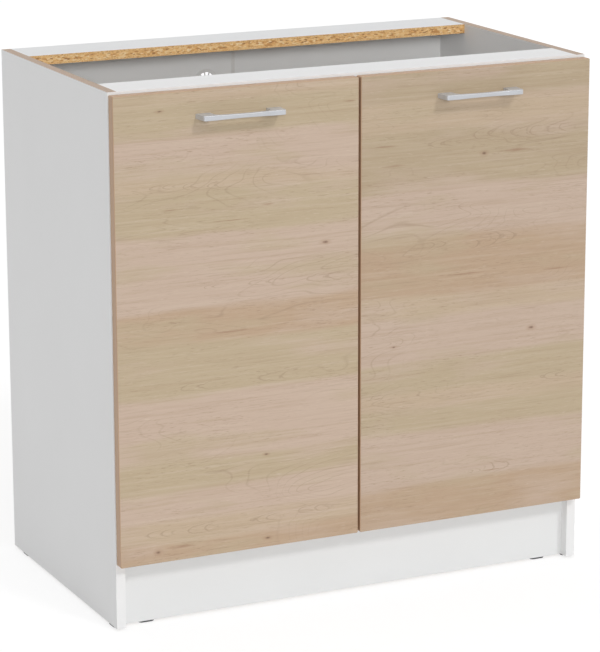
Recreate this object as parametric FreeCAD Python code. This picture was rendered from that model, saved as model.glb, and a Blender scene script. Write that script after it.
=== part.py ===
import FreeCAD, Part
import math
import os
from FreeCAD import Vector

# Sink base cabinet: a chipboard carcass that is open at the top for the bowl and the pipes,
# with a recessed plinth and two overlay doors on concealed four-bar cup hinges.
# Axes: X to the right, Y to the back, Z up. The origin is on the floor, under the middle of
# the overall box, handles included. All lengths are in millimetres.

os.makedirs("parts", exist_ok=True)

# ---- Carcass ---------------------------------------------------------------------------
WIDTH = 800.0                 # over the side panels
HEIGHT = 825.0                # floor to the top edges, where the worktop rests
SIDE_DEPTH = 448.0            # side panels, front edge to back edge
BOARD = 15.0                  # melamine-faced chipboard
BOTTOM_HEIGHT = 107.0         # underside of the bottom panel above the floor
FRONT_RAIL_DEPTH = 75.0
REAR_RAIL_DEPTH = 85.0
PLINTH_THICKNESS = 15.0
PLINTH_SETBACK = 17.0         # behind the side panels' front edges

# ---- Back ------------------------------------------------------------------------------
BACK_SHEET = 3.0              # hardboard
BACK_MARGIN = 1.5             # sheet edges inside the outline of the sides
STRIP_WEB = 1.2               # joining strip between the two sheets
STRIP_FLANGE = 0.8
STRIP_INNER_WIDTH = 6.0
STRIP_OUTER_WIDTH = 14.0
VENT_X = -48.6
VENT_DROP = 78.0              # centre below the top
VENT_RADIUS = 22.0
VENT_RIM = 1.4                # thickness of the rosette in front of the sheet
VENT_SLEEVE_RADIUS = 17.6
VENT_SLEEVE_WALL = 1.2
VENT_HUB_RADIUS = 5.0
VENT_BARS = 6                 # across the middle, each of which makes two ribs
VENT_BAR_WIDTH = 1.8
VENT_BAR_SEAT = 1.0           # of a bar's end in the ring
VENT_TURN = 9.0               # degrees by which the bars are turned
VENT_CLEARANCE = 0.3

# ---- Board joints ----------------------------------------------------------------------
JOINT_INSET = 60.0            # outer joints of the bottom panel from its front and back
DOWEL_STEP = 22.0             # dowels to either side of each cam
DOWEL_RADIUS = 4.0
DOWEL_LENGTH = 30.0
DOWEL_IN_SIDE = 10.0
DOWEL_CHAMFER = 1.0
PLINTH_DOWEL_SHARE = 0.25     # of the width, from the middle to the plinth's upright dowels
BORE_RELIEF = 0.5             # blind bores are this much deeper than what they hold
CAM_INSET = 24.0              # cam centre from the end of its board
CAM_RADIUS = 7.5
CAM_DEPTH = 12.0
CAM_CAVITY_RADIUS = 5.6
CAM_CAVITY_HEIGHT = 6.8
CAM_SLOT_WIDTH = 4.2
CAM_DRIVE_WIDTH = 1.4
CAM_DRIVE_DEPTH = 1.6
BOLT_THREAD_RADIUS = 2.5
BOLT_THREAD_LENGTH = 11.0
BOLT_SHANK_RADIUS = 3.2
BOLT_NECK_RADIUS = 1.8
BOLT_HEAD_RADIUS = 2.9
BOLT_HEAD_LENGTH = 1.8
BOLT_CLEARANCE = 0.2

# ---- Glides ----------------------------------------------------------------------------
GLIDE_HEIGHT = 3.0
GLIDE_LENGTH = 26.0
GLIDE_WIDTH = 13.0
GLIDE_PIN_RADIUS = 2.0
GLIDE_PIN_LENGTH = 12.0
GLIDE_BEVEL = 0.6
GLIDE_FRONT_INSET = 27.0      # centre from the front edge of a side panel
GLIDE_REAR_INSET = 46.0       # centre from the back edge
PLINTH_GLIDE_INSET = 42.0     # centre from the inner face of a side panel

# ---- Doors -----------------------------------------------------------------------------
DOOR_THICKNESS = 16.0
DOOR_BACK_GAP = 2.0           # between the door and the carcass
DOOR_SIDE_REVEAL = 1.0        # door edge inside the outer face of the side panel
DOOR_TOP_REVEAL = 4.0
DOOR_DROP = 2.0               # door bottom below the underside of the bottom panel
CENTRE_GAP = 4.0
DOOR_CORNER_RADIUS = 2.0
DOOR_EDGE_BEVEL = 0.6
BUMPER_RADIUS = 4.0
BUMPER_CLEARANCE = 0.2
BUMPER_SIDE_INSET = 14.0      # from the free edge of the door

# ---- Handles ---------------------------------------------------------------------------
HANDLE_LENGTH = 137.0
HANDLE_PROJECTION = 27.0
HANDLE_FOOT = 23.0            # along the handle
HANDLE_BAR = 6.5              # front to back, between the feet
HANDLE_HEIGHT = 7.6
HANDLE_WAIST = 6.2            # height in the middle of the bar
HANDLE_TAPER = 2.5            # each end draws in towards the front
HANDLE_NOSE_RADIUS = 3.5
HANDLE_GAP_RADIUS = 8.0
HANDLE_EDGE_RADIUS = 1.0      # along the front's upper and lower edges
HANDLE_DROP = 38.5            # centre below the top edge of the door
HANDLE_SCREW_RADIUS = 2.0
HANDLE_SCREW_IN_FOOT = 12.0
HANDLE_SCREW_HEAD_RADIUS = 4.0
HANDLE_SCREW_HEAD = 2.2
HANDLE_HOLE_CLEARANCE = 0.3

# ---- System holes ----------------------------------------------------------------------
HOLE_PITCH = 32.0
HOLE_SETBACK = 37.0           # columns from the front and back edges
HOLE_RADIUS = 2.5
HOLE_DEPTH = 12.0
HINGE_END_DISTANCE = 86.0     # least distance of a hinge centre from the door's end

# ---- Hinges ----------------------------------------------------------------------------
# Hinge plane: its first axis runs from the outer face of the side panel towards the middle
# of the cabinet, its second from the front edge of the side panel to the back.
# The arm's pivots: height above the side panel's inner face, distance behind its front edge.
OUTER_ARM_RISE = 19.352
OUTER_ARM_SETBACK = 3.501
INNER_ARM_RISE = 18.064
INNER_ARM_SETBACK = 21.067
# The cup's pivots and the links' elbows: from the middle of the cup's mouth towards the
# door's outer edge, and down into the cup.
OUTER_CUP_OUT = 9.870
OUTER_CUP_DOWN = 6.964
INNER_CUP_OUT = 13.037
INNER_CUP_DOWN = 3.753
OUTER_ELBOW_OUT = -3.5
OUTER_ELBOW_DOWN = 9.0
INNER_ELBOW_OUT = 5.5
INNER_ELBOW_DOWN = 5.5
OUTER_ELBOW_RADIUS = 8.0
INNER_ELBOW_RADIUS = 4.0
SLOT_OUT = 0.35               # the cup pin's wander in the outer link's slot
SLOT_DOWN = 1.95
SLOT_SIDE_PLAY = 0.3
CUP_EDGE = 4.0                # from the door edge to the bore
CUP_BORE_RADIUS = 17.5
CUP_DEPTH = 12.4
CUP_CLEARANCE = 0.1
CUP_WALL = 0.8
CUP_FLOOR = 0.8
CUP_FLANGE = 0.8
CUP_RIM = 1.2                 # flange rim beyond the bore
CUP_WING_LENGTH = 62.0
CUP_WING_WIDTH = 15.0
CUP_SCREW_STEP = 24.0         # screws above and below the hinge centre
CUP_SCREW_SHIFT = 6.0         # screws beyond the bore centre
CUP_SCREW_RADIUS = 1.75
CUP_SCREW_LENGTH = 11.0
CUP_SCREW_HEAD_RADIUS = 3.5
CUP_SCREW_HEAD = 1.4
PIN_RADIUS = 0.9
PIN_CLEARANCE = 0.1           # round a pin in its eye
EYE_WALL = 0.8                # metal round a pin
LINK_WIDTH = 2.4              # of a link, seen along its pins
OUTER_LINK_HALF = 2.9         # half the outer link's width along the pins
LINK_SIDE_GAP = 0.25
INNER_CHEEK = 1.2
BRIDGE_LENGTH = 4.0           # of the web that ties the inner link's two cheeks
BRIDGE_GAP = 1.0              # between that web and the eye of the arm pin
ARM_CHEEK = 1.6
ARM_WEB = 1.6
ARM_NOSE_TOP = 23.6           # back of the arm above the side panel, over the pivots
ARM_NOSE_REAR = 27.0          # where the nose steps down, behind the front edge
ARM_EYE_RADIUS = 3.2
ARM_REAR = 66.0               # rear end of the arm behind the side panel's front edge
ARM_TOP = 15.0                # back of the arm above the side panel's inner face
ARM_FOOT = 4.2                # lower edge of the arm's cheeks above that face
PLATE_BASE = 1.8
PLATE_SPINE_FRONT = 18.0
PLATE_SPINE_REAR = 64.0
PLATE_SPINE_HEIGHT = 11.0
PLATE_SPINE_SLOPE = 3.6       # bevel at the spine's two ends
PLATE_SPINE_CLEARANCE = 0.1   # between the spine and the arm's cheeks
PLATE_WING_WIDTH = 13.0
PLATE_WING_MARGIN = 8.0       # wing beyond its screw
PLATE_SCREW_RADIUS = 2.4
PLATE_SCREW_LENGTH = 11.0
PLATE_SCREW_HEAD_RADIUS = 4.0
PLATE_SCREW_HEAD = 1.6
ARM_SCREW_RADIUS = 2.5
ARM_SCREW_HEAD_RADIUS = 4.2
ARM_SCREW_HEAD = 2.2
ARM_SCREW_REAR_INSET = 8.0    # fixing screw from the rear end of the arm
ARM_SCREW_STEP = 17.0         # adjusting screw in front of the fixing screw
HEAD_BEVEL = 0.5              # of a screw head's height

# ---- Places that follow from the sizes above --------------------------------------------
DEPTH = (HANDLE_PROJECTION + DOOR_THICKNESS + DOOR_BACK_GAP + SIDE_DEPTH
         + BACK_SHEET + STRIP_FLANGE)
FRONT_Y = -DEPTH / 2 + HANDLE_PROJECTION + DOOR_THICKNESS + DOOR_BACK_GAP
BACK_Y = FRONT_Y + SIDE_DEPTH
DOOR_BACK_Y = FRONT_Y - DOOR_BACK_GAP
DOOR_FRONT_Y = DOOR_BACK_Y - DOOR_THICKNESS
LEFT = -WIDTH / 2
INNER_LEFT = LEFT + BOARD
RAIL_UNDERSIDE = HEIGHT - BOARD
BOTTOM_TOP = BOTTOM_HEIGHT + BOARD
PLINTH_FRONT_Y = FRONT_Y + PLINTH_SETBACK
REAR_RAIL_FRONT_Y = BACK_Y - REAR_RAIL_DEPTH
DOOR_BOTTOM = BOTTOM_HEIGHT - DOOR_DROP
DOOR_TOP = HEIGHT - DOOR_TOP_REVEAL
DOOR_OUTER_X = LEFT + DOOR_SIDE_REVEAL
DOOR_INNER_X = -CENTRE_GAP / 2
DOOR_MIDDLE_X = (DOOR_OUTER_X + DOOR_INNER_X) / 2
HANDLE_Z = DOOR_TOP - HANDLE_DROP
HINGE_SPAN = DOOR_TOP - DOOR_BOTTOM - 2 * HINGE_END_DISTANCE
HINGE_PITCHES = math.floor(HINGE_SPAN / HOLE_PITCH)
HINGE_LOW_Z = DOOR_BOTTOM + HINGE_END_DISTANCE
HINGE_HIGH_Z = HINGE_LOW_Z + HINGE_PITCHES * HOLE_PITCH
HINGE_LEVELS = {"lower": HINGE_LOW_Z, "upper": HINGE_HIGH_Z}
CUP_CENTRE = DOOR_SIDE_REVEAL + CUP_EDGE + CUP_BORE_RADIUS
CUP_RADIUS = CUP_BORE_RADIUS - CUP_CLEARANCE
CUP_SEAT = -DOOR_BACK_GAP     # back face of the door in the hinge plane
INNER_CHEEK_IN = OUTER_LINK_HALF + LINK_SIDE_GAP
INNER_CHEEK_OUT = INNER_CHEEK_IN + INNER_CHEEK
ARM_CHEEK_IN = INNER_CHEEK_OUT + LINK_SIDE_GAP
ARM_CHEEK_OUT = ARM_CHEEK_IN + ARM_CHEEK
PLATE_SPINE_HALF = ARM_CHEEK_IN - PLATE_SPINE_CLEARANCE
ARM_ORIGIN = Vector(BOARD, 0, 0)
CUP_ORIGIN = Vector(CUP_CENTRE, CUP_SEAT, 0)
OUTER_ARM_PIVOT = ARM_ORIGIN + Vector(OUTER_ARM_RISE, OUTER_ARM_SETBACK, 0)
INNER_ARM_PIVOT = ARM_ORIGIN + Vector(INNER_ARM_RISE, INNER_ARM_SETBACK, 0)
OUTER_CUP_PIVOT = CUP_ORIGIN - Vector(OUTER_CUP_OUT, OUTER_CUP_DOWN, 0)
INNER_CUP_PIVOT = CUP_ORIGIN - Vector(INNER_CUP_OUT, INNER_CUP_DOWN, 0)
OUTER_ELBOW = CUP_ORIGIN - Vector(OUTER_ELBOW_OUT, OUTER_ELBOW_DOWN, 0)
INNER_ELBOW = CUP_ORIGIN - Vector(INNER_ELBOW_OUT, INNER_ELBOW_DOWN, 0)
SLOT_END = OUTER_CUP_PIVOT - Vector(SLOT_OUT, SLOT_DOWN, 0)

X_AXIS = Vector(1, 0, 0)
Y_AXIS = Vector(0, 1, 0)
Z_AXIS = Vector(0, 0, 1)
NEAR = 0.01                   # for picking edges by where they lie


# ---- Small helpers ----------------------------------------------------------------------
def box(x0, x1, y0, y1, z0, z1):
    """A block between two corners."""
    return Part.makeBox(x1 - x0, y1 - y0, z1 - z0, Vector(x0, y0, z0))


def rod(start, direction, radius, length):
    return Part.makeCylinder(radius, length, start, direction)


def turned(start, direction, steps):
    """A turned piece: (radius, length) steps one after the other along a direction."""
    place = Vector(start)
    pieces = []
    for radius, length in steps:
        pieces.append(rod(place, direction, radius, length))
        place = place + direction * length
    return fused(pieces)


def fused(shapes):
    first = shapes[0]
    if len(shapes) > 1:
        first = first.fuse(shapes[1:])
    return first.removeSplitter()


def group(shapes):
    """Separate solids that share one node."""
    return Part.makeCompound(shapes)


def mirrored(shape):
    """The right-hand twin of a left-hand piece."""
    return shape.mirror(Vector(0, 0, 0), X_AXIS)


def both_sides(shapes):
    return shapes + [mirrored(shape) for shape in shapes]


def save(name, shape):
    shape.exportStep("parts/" + name + ".step")


def save_pair(name, shape):
    save("left_" + name, shape)
    save("right_" + name, mirrored(shape))


def stadium(centre, along, across, length, width, height):
    """A bar with round ends, lying on its centre point and rising along the third axis."""
    up = along.cross(across)
    half = (length - width) / 2
    corner = centre - along * half - across * (width / 2)
    bar = Part.makePolygon([
        corner,
        corner + along * (2 * half),
        corner + along * (2 * half) + across * width,
        corner + across * width,
        corner,
    ])
    block = Part.Face(bar).extrude(up * height)
    ends = [rod(centre + along * s, up, width / 2, height) for s in (-half, half)]
    return fused([block] + ends)


# ---- Board joints -----------------------------------------------------------------------
def board_joints():
    """Left-hand joints: the joint's centre on the side panel's inner face, the direction in
    which its dowels spread, and the face of the board that the cam opens to."""
    down = Z_AXIS * -1
    bottom_axis = BOTTOM_HEIGHT + BOARD / 2
    rail_axis = RAIL_UNDERSIDE + BOARD / 2
    plinth_axis = PLINTH_FRONT_Y + PLINTH_THICKNESS / 2
    plinth_middle = (GLIDE_HEIGHT + BOTTOM_HEIGHT) / 2
    front_rail_middle = FRONT_Y + FRONT_RAIL_DEPTH / 2
    rear_rail_middle = BACK_Y - REAR_RAIL_DEPTH / 2
    return {
        "bottom": [
            (Vector(INNER_LEFT, FRONT_Y + JOINT_INSET, bottom_axis), Y_AXIS, down),
            (Vector(INNER_LEFT, BACK_Y - JOINT_INSET, bottom_axis), Y_AXIS, down),
        ],
        "front_rail": [
            (Vector(INNER_LEFT, front_rail_middle, rail_axis), Y_AXIS, down),
        ],
        "rear_rail": [
            (Vector(INNER_LEFT, rear_rail_middle, rail_axis), Y_AXIS, down),
        ],
        "plinth": [
            (Vector(INNER_LEFT, plinth_axis, plinth_middle), Z_AXIS, Y_AXIS),
        ],
    }


def dowel_places(joint):
    place, spread, opening = joint
    return [place + spread * (step * DOWEL_STEP) for step in (-1, 1)]


def dowel(place):
    """A fluted dowel's envelope, with its ends chamfered."""
    start = place - X_AXIS * DOWEL_IN_SIDE
    pin = rod(start, X_AXIS, DOWEL_RADIUS, DOWEL_LENGTH)
    ends = [e for e in pin.Edges if e.Closed and isinstance(e.Curve, Part.Circle)]
    return pin.makeChamfer(DOWEL_CHAMFER, ends)


def cam_mouth(joint, thickness):
    """The point on the board's face where the cam is let in."""
    place, spread, opening = joint
    return place + X_AXIS * CAM_INSET + opening * (thickness / 2)


def cam_housing(joint, thickness):
    place, spread, opening = joint
    mouth = cam_mouth(joint, thickness)
    inward = opening * -1
    centre = place + X_AXIS * CAM_INSET
    disc = rod(mouth, inward, CAM_RADIUS, CAM_DEPTH)
    cavity = rod(centre - inward * (CAM_CAVITY_HEIGHT / 2), inward, CAM_CAVITY_RADIUS,
                 CAM_CAVITY_HEIGHT)
    slot_start = centre - X_AXIS * (CAM_RADIUS + 1) - spread * (CAM_SLOT_WIDTH / 2)
    slot = slot_box(slot_start - inward * (CAM_CAVITY_HEIGHT / 2), X_AXIS * (CAM_RADIUS + 1),
                    spread * CAM_SLOT_WIDTH, inward * CAM_CAVITY_HEIGHT)
    drive_start = mouth - X_AXIS * CAM_RADIUS - spread * (CAM_DRIVE_WIDTH / 2)
    drive = slot_box(drive_start, X_AXIS * (2 * CAM_RADIUS), spread * CAM_DRIVE_WIDTH,
                     inward * CAM_DRIVE_DEPTH)
    return disc.cut([cavity, slot, drive])


def slot_box(corner, first, second, third):
    """A block on three edge vectors."""
    outline = Part.makePolygon([corner, corner + first, corner + first + second,
                                corner + second, corner])
    return Part.Face(outline).extrude(third)


def bolt_reach():
    """From the side panel's face to the near side of the bolt head in the cam's cavity."""
    half_chord = math.sqrt(CAM_CAVITY_RADIUS ** 2 - BOLT_HEAD_RADIUS ** 2)
    return CAM_INSET - half_chord + BOLT_CLEARANCE


def cam_bolt(joint):
    place, spread, opening = joint
    shank = CAM_INSET - CAM_RADIUS - BOLT_CLEARANCE
    start = place - X_AXIS * BOLT_THREAD_LENGTH
    return turned(start, X_AXIS, [
        (BOLT_THREAD_RADIUS, BOLT_THREAD_LENGTH),
        (BOLT_SHANK_RADIUS, shank),
        (BOLT_NECK_RADIUS, bolt_reach() - shank),
        (BOLT_HEAD_RADIUS, BOLT_HEAD_LENGTH),
    ])


def side_bores(joint):
    place = joint[0]
    depth = DOWEL_IN_SIDE + BORE_RELIEF
    bores = [rod(place - X_AXIS * BOLT_THREAD_LENGTH, X_AXIS, BOLT_THREAD_RADIUS,
                 BOLT_THREAD_LENGTH)]
    bores += [rod(p - X_AXIS * depth, X_AXIS, DOWEL_RADIUS, depth) for p in dowel_places(joint)]
    return bores


def board_bores(joint, thickness):
    place, spread, opening = joint
    depth = DOWEL_LENGTH - DOWEL_IN_SIDE + BORE_RELIEF
    bores = [rod(p, X_AXIS, DOWEL_RADIUS, depth) for p in dowel_places(joint)]
    bores.append(rod(place, X_AXIS, BOLT_SHANK_RADIUS, CAM_INSET))
    bores.append(rod(cam_mouth(joint, thickness), opening * -1, CAM_RADIUS, CAM_DEPTH))
    return bores


# ---- Glides -----------------------------------------------------------------------------
def glide(x, y, along, across):
    """A plastic foot with a bevelled sole and a pin that is driven into the board above."""
    sole_height = GLIDE_BEVEL
    pad = stadium(Vector(x, y, sole_height), along, across, GLIDE_LENGTH, GLIDE_WIDTH,
                  GLIDE_HEIGHT - sole_height)
    sole = stadium(Vector(x, y, 0), along, across, GLIDE_LENGTH - 2 * GLIDE_BEVEL,
                   GLIDE_WIDTH - 2 * GLIDE_BEVEL, sole_height)
    pin = rod(Vector(x, y, GLIDE_HEIGHT), Z_AXIS, GLIDE_PIN_RADIUS, GLIDE_PIN_LENGTH)
    return fused([pad, sole, pin])


def glide_bore(x, y):
    return rod(Vector(x, y, GLIDE_HEIGHT), Z_AXIS, GLIDE_PIN_RADIUS,
               GLIDE_PIN_LENGTH + BORE_RELIEF)


def side_glide_places():
    x = LEFT + BOARD / 2
    return [(x, FRONT_Y + GLIDE_FRONT_INSET), (x, BACK_Y - GLIDE_REAR_INSET)]


def plinth_glide_places():
    x = INNER_LEFT + PLINTH_GLIDE_INSET
    y = PLINTH_FRONT_Y + PLINTH_THICKNESS / 2
    return [(x, y), (-x, y)]


# ---- Boards -----------------------------------------------------------------------------
def system_holes():
    """Two columns of holes on the standard pitch, one near each vertical edge."""
    holes = []
    first = HINGE_LOW_Z - HOLE_PITCH / 2
    for y in (FRONT_Y + HOLE_SETBACK, BACK_Y - HOLE_SETBACK):
        for row in range(HINGE_PITCHES + 2):
            start = Vector(INNER_LEFT - HOLE_DEPTH, y, first + row * HOLE_PITCH)
            holes.append(rod(start, X_AXIS, HOLE_RADIUS, HOLE_DEPTH))
    return holes


def side_panel():
    panel = box(LEFT, INNER_LEFT, FRONT_Y, BACK_Y, GLIDE_HEIGHT, HEIGHT)
    bores = system_holes()
    for joints in board_joints().values():
        for joint in joints:
            bores += side_bores(joint)
    bores += [glide_bore(x, y) for x, y in side_glide_places()]
    return panel.cut(bores)


def cross_board(name, y0, y1, z0, z1, thickness):
    """A board between the side panels, bored at both ends for its cams and dowels."""
    board = box(INNER_LEFT, -INNER_LEFT, y0, y1, z0, z1)
    bores = []
    for joint in board_joints()[name]:
        bores += board_bores(joint, thickness)
    return board.cut(both_sides(bores))


def plinth_dowel_places():
    x = WIDTH * PLINTH_DOWEL_SHARE
    y = PLINTH_FRONT_Y + PLINTH_THICKNESS / 2
    return [Vector(-x, y, BOTTOM_HEIGHT), Vector(x, y, BOTTOM_HEIGHT)]


def plinth_dowel(place):
    pin = rod(place - Z_AXIS * (DOWEL_LENGTH - DOWEL_IN_SIDE), Z_AXIS, DOWEL_RADIUS,
              DOWEL_LENGTH)
    ends = [e for e in pin.Edges if e.Closed and isinstance(e.Curve, Part.Circle)]
    return pin.makeChamfer(DOWEL_CHAMFER, ends)


def bottom_panel():
    board = cross_board("bottom", FRONT_Y, BACK_Y, BOTTOM_HEIGHT, BOTTOM_TOP, BOARD)
    depth = DOWEL_IN_SIDE + BORE_RELIEF
    return board.cut([rod(p, Z_AXIS, DOWEL_RADIUS, depth) for p in plinth_dowel_places()])


def plinth_board():
    board = cross_board("plinth", PLINTH_FRONT_Y, PLINTH_FRONT_Y + PLINTH_THICKNESS,
                        GLIDE_HEIGHT, BOTTOM_HEIGHT, PLINTH_THICKNESS)
    depth = DOWEL_LENGTH - DOWEL_IN_SIDE + BORE_RELIEF
    bores = [rod(p - Z_AXIS * depth, Z_AXIS, DOWEL_RADIUS, depth) for p in plinth_dowel_places()]
    bores += [glide_bore(x, y) for x, y in plinth_glide_places()]
    return board.cut(bores)


# ---- Back -------------------------------------------------------------------------------
def vent_centre():
    return Vector(VENT_X, BACK_Y, HEIGHT - VENT_DROP)


def back_sheet():
    """The left half of the back; the right half is its mirror image without the vent."""
    return box(LEFT + BACK_MARGIN, -STRIP_WEB / 2, BACK_Y, BACK_Y + BACK_SHEET,
               BOTTOM_HEIGHT, HEIGHT - BACK_MARGIN)


def vented_back_sheet():
    hole = rod(vent_centre(), Y_AXIS, VENT_SLEEVE_RADIUS + VENT_CLEARANCE, BACK_SHEET)
    return back_sheet().cut(hole)


def joining_strip():
    """An H-shaped plastic profile that holds the two sheets edge to edge."""
    rear = BACK_Y + BACK_SHEET
    top = HEIGHT - BACK_MARGIN
    web = box(-STRIP_WEB / 2, STRIP_WEB / 2, BACK_Y, rear, BOTTOM_HEIGHT, top)
    outer = box(-STRIP_OUTER_WIDTH / 2, STRIP_OUTER_WIDTH / 2, rear, rear + STRIP_FLANGE,
                BOTTOM_HEIGHT, top)
    inner = box(-STRIP_INNER_WIDTH / 2, STRIP_INNER_WIDTH / 2, BACK_Y - STRIP_FLANGE, BACK_Y,
                BOTTOM_TOP, RAIL_UNDERSIDE)
    return fused([web, outer, inner])


def vent_bar(angle):
    """A straight bar across the opening, whose ends reach into the ring."""
    along = Vector(math.cos(angle), 0, math.sin(angle))
    across = along.cross(Y_AXIS)
    reach = VENT_SLEEVE_RADIUS - VENT_SLEEVE_WALL + VENT_BAR_SEAT
    corner = vent_centre() - along * reach - across * (VENT_BAR_WIDTH / 2)
    return slot_box(corner, along * (2 * reach), across * VENT_BAR_WIDTH,
                    Y_AXIS * -VENT_RIM)


def vent_grille():
    """A rounded ring with a sleeve behind it, and a hub that is held by straight ribs."""
    centre = vent_centre()
    front = centre - Y_AXIS * VENT_RIM
    sleeve_length = BACK_SHEET + STRIP_FLANGE
    ring = rod(front, Y_AXIS, VENT_RADIUS, VENT_RIM)
    rim = [e for e in ring.Edges if e.Closed and abs(e.CenterOfMass.y - front.y) < NEAR]
    ring = ring.makeFillet(VENT_RIM / 2, rim)
    sleeve = rod(centre, Y_AXIS, VENT_SLEEVE_RADIUS, sleeve_length)
    opening = rod(front, Y_AXIS, VENT_SLEEVE_RADIUS - VENT_SLEEVE_WALL,
                  VENT_RIM + sleeve_length)
    frame = fused([ring, sleeve]).cut(opening)
    hub = rod(front, Y_AXIS, VENT_HUB_RADIUS, VENT_RIM)
    turn = math.radians(VENT_TURN)
    bars = [vent_bar(turn + math.pi * n / VENT_BARS) for n in range(VENT_BARS)]
    return fused([frame, hub] + bars)


# ---- Doors ------------------------------------------------------------------------------
def hinge_origin(z):
    """The hinge plane's origin: the front outer edge of the left side panel."""
    return Vector(LEFT, FRONT_Y, z)


def cup_screw_places():
    """In the hinge plane, on the back face of the door."""
    return [CUP_ORIGIN + Vector(CUP_SCREW_SHIFT, 0, side * CUP_SCREW_STEP)
            for side in (-1, 1)]


def handle_screw_places():
    reach = (HANDLE_LENGTH - HANDLE_FOOT) / 2
    return [Vector(DOOR_MIDDLE_X + side * reach, DOOR_BACK_Y, HANDLE_Z) for side in (-1, 1)]


def door_panel():
    """The left door: rounded corners, bevelled edges, two cup bores and the screw holes."""
    slab = box(DOOR_OUTER_X, DOOR_INNER_X, DOOR_FRONT_Y, DOOR_BACK_Y, DOOR_BOTTOM, DOOR_TOP)
    corners = [e for e in slab.Edges if e.BoundBox.YLength > DOOR_THICKNESS / 2]
    slab = slab.makeFillet(DOOR_CORNER_RADIUS, corners)
    front = [e for e in slab.Edges if abs(e.BoundBox.YMax - DOOR_FRONT_Y) < NEAR]
    slab = slab.makeChamfer(DOOR_EDGE_BEVEL, front)
    outward = Y_AXIS * -1
    bores = []
    for z in HINGE_LEVELS.values():
        origin = hinge_origin(z)
        bores.append(rod(origin + CUP_ORIGIN, outward, CUP_BORE_RADIUS, CUP_DEPTH))
        bores += [rod(origin + p, outward, CUP_SCREW_RADIUS, CUP_SCREW_LENGTH)
                  for p in cup_screw_places()]
    hole = HANDLE_SCREW_RADIUS + HANDLE_HOLE_CLEARANCE
    bores += [rod(p, outward, hole, DOOR_THICKNESS) for p in handle_screw_places()]
    return slab.cut(bores)


def bumper_places():
    x = DOOR_INNER_X - BUMPER_SIDE_INSET
    top = (RAIL_UNDERSIDE + DOOR_TOP) / 2
    bottom = BOTTOM_HEIGHT + BOARD / 2
    return [Vector(x, DOOR_BACK_Y, z) for z in (bottom, top)]


def bumper(place):
    """A soft dot that keeps the closed door off the carcass."""
    height = DOOR_BACK_GAP - BUMPER_CLEARANCE
    dot = rod(place, Y_AXIS, BUMPER_RADIUS, height)
    rim = [e for e in dot.Edges if e.Closed and e.CenterOfMass.y > place.y + height / 2]
    return dot.makeFillet(height / 2, rim)


# ---- Handles ----------------------------------------------------------------------------
def handle():
    """A flat bow: a plan outline with a finger gap, crossed with a waisted front outline."""
    back = DOOR_FRONT_Y
    front = back - HANDLE_PROJECTION
    half = HANDLE_LENGTH / 2
    middle = Vector(DOOR_MIDDLE_X, 0, HANDLE_Z - HANDLE_HEIGHT / 2)
    plan = Part.Face(Part.makePolygon([
        middle + Vector(-half, back, 0),
        middle + Vector(-half + HANDLE_TAPER, front, 0),
        middle + Vector(half - HANDLE_TAPER, front, 0),
        middle + Vector(half, back, 0),
        middle + Vector(-half, back, 0),
    ])).extrude(Z_AXIS * HANDLE_HEIGHT)
    nose = [e for e in plan.Edges if abs(e.BoundBox.YMax - front) < NEAR
            and e.BoundBox.ZLength > HANDLE_HEIGHT / 2]
    plan = plan.makeFillet(HANDLE_NOSE_RADIUS, nose)
    gap_half = half - HANDLE_FOOT
    gap_front = front + HANDLE_BAR
    gap = box(DOOR_MIDDLE_X - gap_half, DOOR_MIDDLE_X + gap_half, gap_front,
              back + HANDLE_GAP_RADIUS, middle.z, middle.z + HANDLE_HEIGHT)
    bends = [e for e in gap.Edges if abs(e.BoundBox.YMax - gap_front) < NEAR
             and e.BoundBox.ZLength > HANDLE_HEIGHT / 2]
    gap = gap.makeFillet(HANDLE_GAP_RADIUS, bends)
    bow = plan.cut(gap).common(handle_front_outline(half, front, back))
    long_edges = [e for e in bow.Edges if abs(e.BoundBox.YMax - front) < NEAR
                  and e.BoundBox.XLength > HANDLE_GAP_RADIUS]
    return bow.makeFillet(HANDLE_EDGE_RADIUS, long_edges)


def handle_front_outline(half, front, back):
    """The bar seen from the front: full height at the feet, waisted in the middle."""
    foot = half - HANDLE_FOOT
    end = HANDLE_HEIGHT / 2
    waist = HANDLE_WAIST / 2
    centre = Vector(DOOR_MIDDLE_X, front, HANDLE_Z)

    def at(x, z):
        return centre + Vector(x, 0, z)

    edges = [
        Part.LineSegment(at(-half, -end), at(-half, end)),
        Part.LineSegment(at(-half, end), at(-foot, end)),
        Part.Arc(at(-foot, end), at(0, waist), at(foot, end)),
        Part.LineSegment(at(foot, end), at(half, end)),
        Part.LineSegment(at(half, end), at(half, -end)),
        Part.LineSegment(at(half, -end), at(foot, -end)),
        Part.Arc(at(foot, -end), at(0, -waist), at(-foot, -end)),
        Part.LineSegment(at(-foot, -end), at(-half, -end)),
    ]
    outline = Part.Wire([edge.toShape() for edge in edges])
    return Part.Face(outline).extrude(Y_AXIS * (back - front))


def drilled_handle():
    outward = Y_AXIS * -1
    depth = DOOR_THICKNESS + HANDLE_SCREW_IN_FOOT + BORE_RELIEF
    bores = [rod(p, outward, HANDLE_SCREW_RADIUS, depth) for p in handle_screw_places()]
    return handle().cut(bores)


def pan_screw(place, direction, shank_radius, shank_length, head_radius, head_height):
    """A screw whose bevelled head sits at its place; the shank runs along the direction."""
    shank = rod(place, direction, shank_radius, shank_length)
    head = rod(place, direction * -1, head_radius, head_height)
    top = place - direction * head_height
    rim = [e for e in head.Edges if e.Closed and (e.CenterOfMass - top).Length < NEAR]
    head = head.makeChamfer(head_height * HEAD_BEVEL, rim)
    return fused([shank, head])


def handle_screws():
    return [pan_screw(p, Y_AXIS * -1, HANDLE_SCREW_RADIUS,
                      DOOR_THICKNESS + HANDLE_SCREW_IN_FOOT,
                      HANDLE_SCREW_HEAD_RADIUS, HANDLE_SCREW_HEAD)
            for p in handle_screw_places()]


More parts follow.
